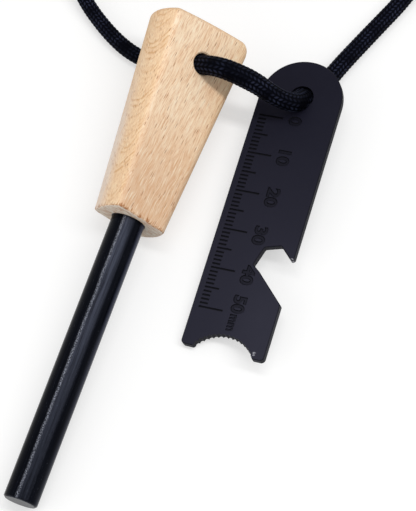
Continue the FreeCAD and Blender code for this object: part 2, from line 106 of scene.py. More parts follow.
TAIL_ROUTE = [
    (-0.0566, 0.10866, 0.0077),
    (-0.05939, 0.10084, 0.0077),
    (-0.0617, 0.0946, 0.0063),
    (-0.0616, 0.0894, 0.0052),
    (-0.0590, 0.0850, 0.0050),
]
COIL_X = -29.5 * MM
COIL_Y = 104.3 * MM
COIL_OUTER_RADIUS = 27.0 * MM
COIL_TURNS = 3.2
COIL_TURN_STEP = 4.75 * MM
COIL_LAYER_STEP = 4.7 * MM
COIL_LOWEST = 3.0 * MM
COIL_START_TURN_SHARE = 0.25
COIL_POINTS_PER_TURN = 20

# Places along each stretch, and the cord's width there as a share of its diameter. The places are
# shares of the length, but metres on the right stretch.
LEFT_WIDTHS = ((0.0, 0.4, 0.6, 1.0), (0.95, 0.95, 0.905, 0.89))
BRIDGE_WIDTHS = ((0.0, 0.25, 0.5, 0.75, 0.88, 1.0), (1.10, 1.16, 1.23, 1.10, 1.14, 1.30))
RIGHT_WIDTHS = ((0.0, 0.003, 0.007, 0.016, 0.045), (1.30, 1.24, 1.10, 1.06, 1.0))
# The left stretch, the bridge and the right stretch: usual width, and what the far end joins
USUAL_WIDTHS = (0.92, 1.15, 1.0)
FAR_ENDS = ("knot", "object", "knot")

# Spacing of the cord's rings and the points in each, coarser on the right stretch and out of view
FINE_STEP = 0.17 * MM
FINE_AROUND = 84
COARSE_AROUND = 70
RIGHT_SEEN_LENGTH = 0.050
RIGHT_SEEN_STEP = 0.18 * MM
COARSE_STEP = 0.25 * MM
FIRST_NORMAL = (0.0, 1.0, 0.0)

# The cord's braid
BRAID_COLUMNS = 14
BRAID_STITCH = 1.05 * MM
BRAID_LEAN = 0.75
BRAID_RELIEF = 0.21 * MM

# Knot: wraps that draw in at both ends, and the two short sealed ends, in millimetres from its middle
KNOT_PLACE = (-0.0560, 0.0798, 0.0050)
KNOT_HEADING = math.radians(120)
KNOT_TURNS = 3.1
KNOT_RADIUS = 2.75 * MM
KNOT_PITCH = 3.7 * MM
KNOT_STEPS_PER_TURN = 90
KNOT_DRAW_IN = 0.45
KNOT_DRAW_OVER = 0.2
KNOT_WRAP_WIDTH = 0.90
KNOT_RING_STEP = 0.2 * MM
KNOT_END_POINTS = ((2.0, 0.6, -0.4), (4.5, 1.6, -0.8), (7.0, 2.9, -1.3), (9.2, 4.2, -1.8))
KNOT_END_WIDTH = 0.86
KNOT_END_ROUNDING = 0.5 * MM

# Tie, as in the part's source, and its overlap's thicknesses and corner points
TIE_PLACE_TURNS_SHARE = 0.1
TIE_WIDTH = 3.0 * MM
TIE_THICKNESS = 0.6 * MM
TIE_CLEARANCE = 0.3 * MM
TIE_CORNER_RADIUS = 2.0 * MM
TIE_CORNER_STEPS = 8
TIE_LAP_THICKNESSES = (1.02, 1.75)
TIE_LAP = slice(3, 15)
TIE_EDGE_ROUNDING = 0.12 * MM


# Node materials

class Shader:
    """Builds one node material, with short calls for the nodes and links it needs."""

    def __init__(self, name):
        self.material = bpy.data.materials.new(name)
        self.material.use_nodes = True
        self.tree = self.material.node_tree
        self.surface = self.tree.nodes["Principled BSDF"]
        self.output = self.tree.nodes["Material Output"]

    def node(self, kind, settings=None, **inputs):
        made = self.tree.nodes.new(kind)
        for key, value in (settings or {}).items():
            setattr(made, key, value)
        for key, value in inputs.items():
            self.put(made, key.replace("_", " "), value)
        return made

    def put(self, node, key, value):
        socket = node.inputs[key]
        if isinstance(value, bpy.types.NodeSocket):
            self.tree.links.new(value, socket)
        else:
            socket.default_value = value

    def set(self, **inputs):
        for key, value in inputs.items():
            self.put(self.surface, key.replace("_", " "), value)

    def math(self, operation, a, b=0.0, c=0.0):
        made = self.node("ShaderNodeMath", {"operation": operation})
        for index, value in enumerate((a, b, c)):
            self.put(made, index, value)
        return made.outputs[0]

    def times(self, first, *others):
        for other in others:
            first = self.math("MULTIPLY", first, other)
        return first

    def length(self, a, b):
        return self.math("SQRT", self.math("ADD", self.times(a, a), self.times(b, b)))

    def ramp(self, value, low, high):
        """0 at low, 1 at high, smooth between."""
        made = self.node("ShaderNodeMapRange", {"interpolation_type": "SMOOTHSTEP"}, Value=value)
        if low < high:
            made.inputs["From Min"].default_value, made.inputs["From Max"].default_value = low, high
            return made.outputs["Result"]
        made.inputs["From Min"].default_value, made.inputs["From Max"].default_value = high, low
        made.inputs["To Min"].default_value, made.inputs["To Max"].default_value = 1.0, 0.0
        return made.outputs["Result"]

    def mix(self, share, a, b):
        made = self.node("ShaderNodeMix", {"data_type": "RGBA"})
        for index, value in zip((0, 6, 7), (share, a, b)):
            self.put(made, index, value)
        return made.outputs[2]

    def noise(self, vector, scale, detail=2.0, roughness=0.5):
        made = self.node("ShaderNodeTexNoise", Vector=vector, Scale=scale, Detail=detail,
                         Roughness=roughness)
        return made.outputs["Fac"]

    def stretched(self, vector, scale):
        made = self.node("ShaderNodeVectorMath", {"operation": "MULTIPLY"})
        self.put(made, 0, vector)
        self.put(made, 1, scale)
        return made.outputs[0]

    def local_mm(self, place):
        """The piece's own coordinates in millimetres, in a local frame given as a matrix."""
        coordinates = self.node("ShaderNodeTexCoord").outputs["Object"]
        mapping = self.node("ShaderNodeMapping", {"vector_type": "TEXTURE"}, Vector=coordinates)
        mapping.inputs["Location"].default_value = place.to_translation()
        mapping.inputs["Rotation"].default_value = place.to_euler()
        mapping.inputs["Scale"].default_value = (MM, MM, MM)
        return mapping.outputs[0]

    def split(self, vector):
        made = self.node("ShaderNodeSeparateXYZ", Vector=vector)
        return made.outputs[0], made.outputs[1], made.outputs[2]

    def joined(self, x, y, z):
        made = self.node("ShaderNodeCombineXYZ")
        for index, value in enumerate((x, y, z)):
            self.put(made, index, value)
        return made.outputs[0]

    def bump(self, height, distance, strength=1.0, normal=None):
        made = self.node("ShaderNodeBump", Height=height, Distance=distance, Strength=strength)
        if normal is not None:
            self.put(made, "Normal", normal)
        return made.outputs[0]


def tone(red, green, blue):
    """A colour given as it looks on screen, from 0 to 255, as the shader's linear values."""
    values = []
    for value in (red / 255, green / 255, blue / 255):
        values.append(value / 12.92 if value <= 0.04045 else ((value + 0.055) / 1.055) ** 2.4)
    return (*values, 1.0)


# Local frames, from the record's joints and mounts

def joint(name):
    return next(j for j in frame["joints"] if j["name"] == name)


def mount(name):
    return next(m for m in frame["record"]["mounts"] if m["name"] == name)


def local_frame(origin, x_axis, y_axis):
    x_axis = Vector(x_axis).normalized()
    z_axis = x_axis.cross(Vector(y_axis)).normalized()
    y_axis = z_axis.cross(x_axis)
    turn = Matrix((x_axis, y_axis, z_axis)).transposed()
    return Matrix.Translation(Vector(origin)) @ turn.to_4x4()


def handle_frame():
    """Origin in the cord hole, Y along the rod towards the butt, Z out of the front face."""
    along = -Vector(mount("rod")["axis"])
    out = Vector(joint("handle_swing")["axis"])
    return local_frame(joint("handle_swing")["pos_m"], along.cross(out), along)


def striker_frame():
    """Origin in the cord hole, X towards the notched edge, Z out of the ruler's face."""
    across = Vector(mount("opener_notch")["axis"])
    out = Vector(joint("striker_swing")["axis"])
    return local_frame(joint("striker_swing")["pos_m"], across, out.cross(across))


AT_HANDLE = handle_frame()
AT_STRIKER = striker_frame()


def add_object(name, mesh, material=None):
    made = bpy.data.objects.new(name, mesh)
    bpy.context.scene.collection.objects.link(made)
    if material is not None:
        mesh.materials.append(material)
    return made


# Cord

def coil_radius(turns):
    """Radius of the winding: inwards on the first layer and outwards again on the second."""
    climb_start = COIL_TURNS / 2 - 1 / 4
    from_middle = turns - COIL_TURNS / 2
    if turns < climb_start:
        return COIL_OUTER_RADIUS - COIL_TURN_STEP * turns
    if turns > COIL_TURNS - climb_start:
        return COIL_OUTER_RADIUS - COIL_TURN_STEP * (COIL_TURNS - turns)
    inner = COIL_OUTER_RADIUS - COIL_TURN_STEP * climb_start
    return inner - COIL_TURN_STEP * (1 / 8 - 2 * from_middle ** 2)


def coil_height(turns):
    share = min(max(2 * (turns - COIL_TURNS / 2) + 1 / 2, 0), 1)
    return COIL_LOWEST + COIL_LAYER_STEP * share * share * (3 - 2 * share)


def coil_point(turns):
    angle = 2 * math.pi * (turns + COIL_START_TURN_SHARE)
    radius = coil_radius(turns)
    return (COIL_X + radius * math.cos(angle), COIL_Y + radius * math.sin(angle), coil_height(turns))


def coil_route():
    count = round(COIL_TURNS * COIL_POINTS_PER_TURN)
    return [coil_point(COIL_TURNS * index / count) for index in range(count + 1)]


def route_line(points):
    """Points along the smooth NURBS line through the route's control points."""
    curve = bpy.data.curves.new("route", "CURVE")
    curve.dimensions = "3D"
    spline = curve.splines.new("NURBS")
    spline.points.add(len(points) - 1)
    for control, point in zip(spline.points, points):
        control.co = (*point, 1.0)
    spline.order_u = 3
    spline.use_endpoint_u = True
    spline.resolution_u = 24
    holder = bpy.data.objects.new("route", curve)
    bpy.context.scene.collection.objects.link(holder)
    bpy.context.view_layer.update()
    mesh = bpy.data.meshes.new_from_object(holder)
    line = np.array([vertex.co for vertex in mesh.vertices], float)
    bpy.data.objects.remove(holder)
    bpy.data.curves.remove(curve)
    bpy.data.meshes.remove(mesh)
    return line


def lengths_along(line):
    steps = np.linalg.norm(np.diff(line, axis=0), axis=1)
    return np.concatenate([[0.0], np.cumsum(steps)])


def points_at(line, marks):
    along = lengths_along(line)
    return np.stack([np.interp(marks, along, line[:, axis]) for axis in range(3)], axis=1)


def smoothed(line):
    """The line without the tiny corners that reading it in steps leaves."""
    middle = (line[:-2] + 2 * line[1:-1] + line[2:]) / 4
    return np.concatenate([line[:1], middle, line[-1:]])


def unit(vectors):
    return vectors / np.linalg.norm(vectors, axis=-1, keepdims=True)


def carried_frames(line, first_normal):
    """Normals carried along the line without twist, and the sides that go with them."""
    tangents = unit(np.gradient(line, axis=0))
    normal = np.array(first_normal, float)
    normals = []
    for tangent in tangents:
        normal = normal - tangent * (normal @ tangent)
        normal = normal / np.linalg.norm(normal)
        normals.append(normal)
    normals = np.array(normals)
    return normals, np.cross(tangents, normals)


def braid_height(along, around):
    """Height of the braid from 0 to 1: columns of leaning stitches, each two columns in a chevron."""
    column = around * BRAID_COLUMNS
    place = column - np.floor(column)
    lean = np.where(np.floor(column) % 2 == 0, BRAID_LEAN, -BRAID_LEAN)
    stitch = along / BRAID_STITCH + lean * (place - 0.5)
    inside = stitch - np.floor(stitch)
    return np.sqrt(np.sin(np.pi * place)) * np.sqrt(np.sin(np.pi * inside))


def tube(name, line, radii, first_normal, heights, material):
    """Closed tube along a line. radii has a radius for each point and each step round it."""
    rings, around = radii.shape
    normals, sides = carried_frames(line, first_normal)
    angles = 2 * np.pi * np.arange(around) / around
    directions = (normals[:, None, :] * np.cos(angles)[None, :, None]
                  + sides[:, None, :] * np.sin(angles)[None, :, None])
    points = (line[:, None, :] + directions * radii[:, :, None]).reshape(-1, 3)
    first = np.arange(rings - 1)[:, None] * around + np.arange(around)[None, :]
    turned = np.arange(rings - 1)[:, None] * around + (np.arange(around)[None, :] + 1) % around
    faces = np.stack([first, turned, turned + around, first + around], axis=-1).reshape(-1, 4)
    caps = [list(range(around))[::-1], list(range((rings - 1) * around, rings * around))]
    mesh = bpy.data.meshes.new(name)
    mesh.from_pydata(points.tolist(), [], faces.tolist() + caps)
    mesh.polygons.foreach_set("use_smooth", [True] * len(mesh.polygons))
    attribute = mesh.attributes.new("braid", "FLOAT", "POINT")
    attribute.data.foreach_set("value", heights.astype(np.float32).ravel())
    mesh.update()
    return add_object(name, mesh, material)


def braided_tube(name, line, marks, around, width, first_normal, material):
    """Braided tube through the line's points at those marks; width is a share of the diameter."""
    points = points_at(smoothed(line), marks)
    turns = np.arange(around) / around
    heights = braid_height(marks[:, None], turns[None, :])
    radii = np.broadcast_to(width, marks.shape)[:, None] * CORD_DIAMETER / 2
    radii = radii - BRAID_RELIEF * (1 - heights)
    return tube(name, points, radii, first_normal, heights, material)


def cord_material():
    """Black braided synthetic yarn, with painted shade between the stitches and faint, cool painted highlights on
    their tops.
    """
    shader = Shader("braided_yarn")
    height = shader.node("ShaderNodeAttribute", {"attribute_name": "braid"}).outputs["Fac"]
    coordinates = shader.node("ShaderNodeTexCoord").outputs["Object"]
    fibre = shader.noise(coordinates, 2600.0, 3.0, 0.6)
    uneven = shader.noise(coordinates, 240.0)
    # Painted light: dark between the stitches and lighter on their tops, broken by a coarse noise.
    painted_stitch_light = shader.times(shader.ramp(height, 0.50, 0.98), shader.ramp(uneven, 0.25, 0.75))
    shader.set(Base_Color=shader.mix(painted_stitch_light, tone(1, 1, 3), tone(44, 48, 66)), Roughness=0.5,
               Specular_IOR_Level=0.035, Specular_Tint=tone(200, 210, 255), Sheen_Weight=0.008,
               Sheen_Roughness=0.4, Sheen_Tint=tone(190, 200, 230),
               Normal=shader.bump(fibre, 0.05 * MM, 0.6))
    return shader.material


def even_marks(length, step):
    return np.linspace(0, length, max(round(length / step), 4) + 1)


def make_cords():
    yarn = cord_material()
    lines = [route_line(route) for route in (LEFT_ROUTE, BRIDGE_ROUTE,
                                             RIGHT_ROUTE + coil_route() + TAIL_ROUTE)]
    lengths = [lengths_along(smoothed(line))[-1] for line in lines]
    pieces = []
    for name, line, length, widths in zip(("cord_left", "cord_between_holes"), lines, lengths,
                                          (LEFT_WIDTHS, BRIDGE_WIDTHS)):
        marks = even_marks(length, FINE_STEP)
        width = np.interp(marks / length, *widths)
        pieces.append(braided_tube(name, line, marks, FINE_AROUND, width, FIRST_NORMAL, yarn))
    seen = even_marks(RIGHT_SEEN_LENGTH, RIGHT_SEEN_STEP)
    unseen = even_marks(lengths[2] - RIGHT_SEEN_LENGTH, COARSE_STEP)[1:] + RIGHT_SEEN_LENGTH
    marks = np.concatenate([seen, unseen])
    pieces.append(braided_tube("cord_right", lines[2], marks, COARSE_AROUND,
                               np.interp(marks, *RIGHT_WIDTHS), FIRST_NORMAL, yarn))
    for piece in pieces:
        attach(piece, "lanyard")
    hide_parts("cord_left_strand")
    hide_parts("cord_bridge")
    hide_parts("cord_right_strand", "cord_coil", "cord_coil_tail")
    exits = (AT_HANDLE @ Vector((0, 0, -HANDLE_TOP * MM)), AT_HANDLE @ Vector((0, 0, HANDLE_TOP * MM)),
             AT_STRIKER @ Vector((0, 0, -PLATE_TOP * MM)))
    return list(zip(pieces, lines, exits, lengths, USUAL_WIDTHS, FAR_ENDS)), yarn


cords, yarn = make_cords()


# Camera, lights and floor

def make_camera():
    data = bpy.data.cameras.new("camera")
    data.lens = CAMERA_LENS
    data.sensor_width = CAMERA_SENSOR
    data.clip_start, data.clip_end = CAMERA_CLIP
    camera = bpy.data.objects.new("camera", data)
    bpy.context.scene.collection.objects.link(camera)
    camera.location = CAMERA_PLACE
    aim = Vector(CAMERA_TARGET) - Vector(CAMERA_PLACE)
    camera.rotation_euler = aim.to_track_quat("-Z", "Y").to_euler()
    bpy.context.scene.camera = camera


def make_lamp(name, direction, size, share):
    """Soft lamp that gives a white surface facing it this share of full white."""
    data = bpy.data.lights.new(name, "AREA")
    data.shape = "RECTANGLE"
    data.size, data.size_y = size
    data.energy = share * math.pi ** 2 * LAMP_DISTANCE ** 2
    lamp = bpy.data.objects.new(name, data)
    bpy.context.scene.collection.objects.link(lamp)
    towards = Vector(direction).normalized()
    along = Vector((0, 1, 0)).cross(towards).normalized()
    lamp.location = towards * LAMP_DISTANCE
    lamp.rotation_euler = Matrix((along, towards.cross(along), towards)).transposed().to_euler()


def seen_directly(tree):
    """1 for rays from the camera, from gloss and through glass, and 0 for the others."""
    path = tree.nodes.new("ShaderNodeLightPath")
    total = path.outputs["Is Camera Ray"]
    for name in ("Is Glossy Ray", "Is Transmission Ray"):
        larger = tree.nodes.new("ShaderNodeMath")
        larger.operation = "MAXIMUM"
        tree.links.new(total, larger.inputs[0])
        tree.links.new(path.outputs[name], larger.inputs[1])
        total = larger.outputs[0]
    return total


def make_world():
    """White where it is seen or reflected, and weaker where it lights the object."""
    world = bpy.data.worlds.new("studio")
    bpy.context.scene.world = world
    world.use_nodes = True
    tree = world.node_tree
    background = tree.nodes["Background"]
    background.inputs["Color"].default_value = (1.0, 1.0, 1.0, 1.0)
    strength = tree.nodes.new("ShaderNodeMapRange")
    tree.links.new(seen_directly(tree), strength.inputs["Value"])
    strength.inputs["To Min"].default_value = WORLD_SHARE
    strength.inputs["To Max"].default_value = 1.0
    tree.links.new(strength.outputs["Result"], background.inputs["Strength"])


def make_floor():
    """White floor that keeps a soft shadow; its glow is seen but lights nothing."""
    mesh = bpy.data.meshes.new("floor")
    corners = [(x * FLOOR_HALF, y * FLOOR_HALF, 0) for x, y in ((-1, -1), (1, -1), (1, 1), (-1, 1))]
    mesh.from_pydata(corners, [], [(0, 1, 2, 3)])
    shader = Shader("paper_floor")
    tree = shader.tree
    grain = shader.noise(shader.node("ShaderNodeTexCoord").outputs["Object"], 900.0)
    shader.set(Base_Color=shader.mix(grain, (FLOOR_ALBEDO, FLOOR_ALBEDO, FLOOR_ALBEDO, 1),
                                     (FLOOR_ALBEDO, FLOOR_ALBEDO, FLOOR_ALBEDO * 0.99, 1)),
               Roughness=1.0, Specular_IOR_Level=0.0)
    emission = shader.node("ShaderNodeEmission", Color=(1.0, 1.0, 1.0, 1.0),
                           Strength=shader.times(seen_directly(tree), FLOOR_GLOW))
    total = shader.node("ShaderNodeAddShader")
    tree.links.new(shader.surface.outputs[0], total.inputs[0])
    tree.links.new(emission.outputs[0], total.inputs[1])
    tree.links.new(total.outputs[0], shader.output.inputs["Surface"])
    add_object("floor", mesh, shader.material)


bpy.context.scene.view_settings.view_transform = "Standard"
make_camera()
make_world()
make_lamp("key", *KEY_LAMP)
make_lamp("fill", *FILL_LAMP)
make_floor()


# Knot and tie

def knot_wraps(at_knot):
    """Three wraps round the two cords, which draw in where the cord dives under itself."""
    steps = round(KNOT_TURNS * KNOT_STEPS_PER_TURN)
    line = []
    for index in range(steps + 1):
        share = index / steps
        angle = 2 * math.pi * KNOT_TURNS * share
        beyond = max(0, abs(2 * share - 1) - (1 - KNOT_DRAW_OVER)) / KNOT_DRAW_OVER
        radius = KNOT_RADIUS * (1 - KNOT_DRAW_IN * beyond)
        line.append(at_knot @ Vector(((share - 0.5) * KNOT_TURNS * KNOT_PITCH, radius * math.cos(angle),
                                      radius * math.sin(angle))))
    line = np.array(line)
    marks = even_marks(lengths_along(line)[-1], KNOT_RING_STEP)
    axis = (at_knot.to_3x3() @ Vector((1, 0, 0)))[:]
    return braided_tube("knot_wraps", line, marks, COARSE_AROUND, KNOT_WRAP_WIDTH, axis, yarn)


def knot_end(name, side, at_knot):
    """Short end of cord that sticks out of the knot and is rounded off by its seal."""
    line = route_line([tuple(at_knot @ Vector((side * x * MM, y * MM, z * MM)))
                       for x, y, z in KNOT_END_POINTS])
    marks = even_marks(lengths_along(line)[-1], KNOT_RING_STEP)
    from_end = np.clip((marks[-1] - marks) / KNOT_END_ROUNDING, 0.0, 1.0)
    width = KNOT_END_WIDTH * from_end ** 0.4 + 0.02
    return braided_tube(name, line, marks, COARSE_AROUND, width, (0, 0, 1), yarn)


def make_knot():
    """Barrel knot that joins the cord's two ends."""
    at_knot = Matrix.Translation(Vector(KNOT_PLACE)) @ Matrix.Rotation(KNOT_HEADING, 4, "Z")
    pieces = [knot_wraps(at_knot), knot_end("knot_end_near", -1, at_knot),
              knot_end("knot_end_far", 1, at_knot)]
    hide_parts("lanyard_knot")
    for piece in pieces:
        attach(piece, "lanyard")
    return pieces


def tie_material():
    shader = Shader("rubber_band")
    coordinates = shader.node("ShaderNodeTexCoord").outputs["Object"]
    blotch = shader.noise(coordinates, 500.0, 3.0)
    fine = shader.noise(coordinates, 3500.0, 2.0)
    shader.set(Base_Color=shader.mix(blotch, tone(20, 20, 22), tone(38, 38, 41)), Roughness=0.55,
               Specular_IOR_Level=0.25, Normal=shader.bump(fine, 0.03 * MM, 0.5))
    return shader.material


def tie_loop(grow):
    """Rounded rectangle round the coil's four cords, grown by this much, about its own middle."""
    inner_turn, outer_turn = coil_radius(TIE_PLACE_TURNS_SHARE + 1), coil_radius(TIE_PLACE_TURNS_SHARE)
    half_x = (outer_turn - inner_turn + CORD_DIAMETER) / 2 + TIE_CLEARANCE
    half_y = (COIL_LAYER_STEP + CORD_DIAMETER) / 2 + TIE_CLEARANCE
    radius = TIE_CORNER_RADIUS + grow
    points = []
    for centre_x, centre_y, start in ((1, 1, 0), (-1, 1, 90), (-1, -1, 180), (1, -1, 270)):
        for step in range(TIE_CORNER_STEPS + 1):
            angle = math.radians(start + 90 * step / TIE_CORNER_STEPS)
            points.append((centre_x * (half_x - TIE_CORNER_RADIUS) + radius * math.cos(angle),
                           centre_y * (half_y - TIE_CORNER_RADIUS) + radius * math.sin(angle)))
    return points


def tie_place():
    """Middle of the strap's loop on the coil, with X out of the coil and Y up."""
    angle = 2 * math.pi * (TIE_PLACE_TURNS_SHARE + COIL_START_TURN_SHARE)
    radius = (coil_radius(TIE_PLACE_TURNS_SHARE + 1) + coil_radius(TIE_PLACE_TURNS_SHARE)) / 2
    height = (coil_height(0) + coil_height(COIL_TURNS)) / 2
    out, up = Vector((math.cos(angle), math.sin(angle), 0)), Vector((0, 0, 1))
    place = Matrix.Translation(Vector((COIL_X, COIL_Y, height)) + out * radius)
    return place @ Matrix((out, up, out.cross(up))).transposed().to_4x4()


def add_strip(bm, place, inner, outer, closed):
    """Strap as wide as the tie between two lines of points."""
    half = TIE_WIDTH / 2
    rings = []
    for (ix, iy), (ox, oy) in zip(inner, outer):
        rings.append([bm.verts.new(place @ Vector(point)) for point in
                      ((ix, iy, -half), (ix, iy, half), (ox, oy, half), (ox, oy, -half))])
    for one, two in list(zip(rings, rings[1:])) + ([(rings[-1], rings[0])] if closed else []):
        for side in range(4):
            bm.faces.new((one[side], one[(side + 1) % 4], two[(side + 1) % 4], two[side]))
    if not closed:
        bm.faces.new(rings[0][::-1])
        bm.faces.new(rings[-1])


def make_tie():
    """Strap round the coil's four cords, whose end overlaps on top."""
    place = tie_place()
    lap_inside, lap_outside = (tie_loop(TIE_THICKNESS * share)[TIE_LAP] for share in TIE_LAP_THICKNESSES)
    bm = bmesh.new()
    add_strip(bm, place, tie_loop(0.0), tie_loop(TIE_THICKNESS), True)
    add_strip(bm, place, lap_inside, lap_outside, False)
    bmesh.ops.recalc_face_normals(bm, faces=bm.faces)
    mesh = bpy.data.meshes.new("tie_strap")
    bm.to_mesh(mesh)
    bm.free()
    tie = add_object("tie_strap", mesh, tie_material())
    rounding = tie.modifiers.new("rounding", "BEVEL")
    rounding.width = TIE_EDGE_ROUNDING
    rounding.segments = 3
    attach(tie, "lanyard")
    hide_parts("coil_tie")
    return tie


knot_pieces = make_knot()
tie_piece = make_tie()


# Wood, in millimetres in the handle's frame: the cord hole at the origin, the butt at +Y

ROD_END_Y = -41.2

# Changes from the solid that follow the photograph. The left side swells less towards the rod, from
# its ridge with the front face on, and its back is narrower there.
SIDE_FULL_Y = 8.0
SIDE_RIDGE_X = (-11.0, -6.9)
SIDE_LESS_SWELL = 0.45
BACK_SHIFT = 0.55
BACK_SHIFT_Z = (4.0, -4.0)
BACK_SHIFT_X = (-5.3, -6.1)
# The rod end is cut a little askew.
END_TILT = 0.027
END_TILT_FROM_X = -8.3
END_TILT_BELOW_Y = -40.55
# The butt's right corner is rounder.
BUTT_CORNER = (11.4, 10.6)
BUTT_CORNER_REACH = 2.8
BUTT_CORNER_MOVE = 0.6
# The cord hole is a little narrower and lies aside.
HOLE_REACH = 3.4
HOLE_LESS_RADIUS = 0.28
HOLE_SHIFT = (0.20, -0.10)
# The mouth round the rod is plain.
MOUTH_BELOW_Y = -40.0
MOUTH_REACH = 5.2
MOUTH_RADIUS = 4.2


def growth_rings(shader, place, lean_x, y, z):
    """Shares of late wood and of thin lines in growth rings about an axis beside the handle."""
    warp = shader.noise(shader.stretched(place, (0.10, 0.035, 0.10)), 1.0, 2.0)
    from_pith = shader.math("SUBTRACT", shader.math("MULTIPLY_ADD", warp, 3.2, lean_x), 32.0)
    radius = shader.length(from_pith, z)
    grown = shader.joined(radius, shader.times(y, 0.012), 0.0)
    ring = shader.math("FRACT", shader.math("MULTIPLY_ADD", shader.noise(grown, 0.6, 1.0), 1.6,
                                            shader.math("DIVIDE", radius, 1.05)))
    late = shader.times(shader.ramp(ring, 0.30, 0.88), shader.ramp(ring, 1.0, 0.92))
    return late, shader.ramp(shader.noise(grown, 4.5, 1.0), 0.50, 0.68)


def side_arcs(shader, place, y, z, side):
    """Share of the nested arcs where the bulged sides cut the growth rings, in groups along them."""
    across_side = shader.math("SUBTRACT", z, 1.5)
    bowed = shader.math("MULTIPLY_ADD", shader.times(across_side, across_side), -0.24, y)
    wobble = shader.noise(shader.stretched(place, (0.1, 0.16, 0.22)), 1.0, 1.0)
    arc = shader.math("DIVIDE", shader.math("MULTIPLY_ADD", wobble, 3.4, bowed), 1.45)
    arc = shader.math("FRACT", arc)
    line = shader.times(shader.ramp(arc, 0.20, 0.62), shader.ramp(arc, 0.90, 0.66))
    grouping = shader.stretched(shader.joined(0.0, bowed, 0.0), (0.0, 0.21, 0.0))
    groups = shader.ramp(shader.noise(grouping, 1.0, 1.0), 0.42, 0.58)
    broken = shader.ramp(shader.noise(place, 0.9, 2.0), 0.30, 0.55)
    return shader.times(line, groups, side, broken)


def painted_sheen_back(shader, x, y, z):
    """Share of a painted sheen, pale and grey, along the back half of the left side, broken into slanting streaks.
    """
    where = shader.times(shader.ramp(z, 1.8, -3.0), shader.ramp(y, 0.0, -24.0),
                         shader.ramp(x, 0.0, -3.0))
    slanting = shader.math("MULTIPLY_ADD", z, -1.6, y)
    streaks = shader.noise(shader.joined(0.0, shader.times(slanting, 1.3), shader.times(z, 0.35)),
                           1.0, 3.0, 0.6)
    return shader.times(where, shader.math("MULTIPLY_ADD", shader.ramp(streaks, 0.36, 0.62), 0.45, 0.35))


def wood_dashes(shader, lean):
    """Share of the short dashes: flattened cells, of which some are dark."""
    cells = shader.node("ShaderNodeTexVoronoi", {"feature": "F1"}, Scale=1.0,
                        Vector=shader.stretched(lean, (2.3, 0.30, 2.3)))
    return shader.times(shader.ramp(cells.outputs["Distance"], 0.30, 0.13),
                        shader.ramp(shader.split(cells.outputs["Color"])[0], 0.10, 1.0))


def browned_edge(shader, place, end_y, strands):
    """Share of the saw's brown at the rod end's edge, ragged along the fibres."""
    ragged = shader.math("MULTIPLY_ADD", shader.math("SUBTRACT", strands, 0.5), -5.0, end_y)
    edge = shader.times(shader.ramp(ragged, ROD_END_Y + 0.7, ROD_END_Y + 0.1),
                        shader.ramp(end_y, ROD_END_Y + 0.01, ROD_END_Y + 0.12))
    return shader.times(edge, shader.ramp(shader.noise(place, 0.75, 2.0), 0.30, 0.60))


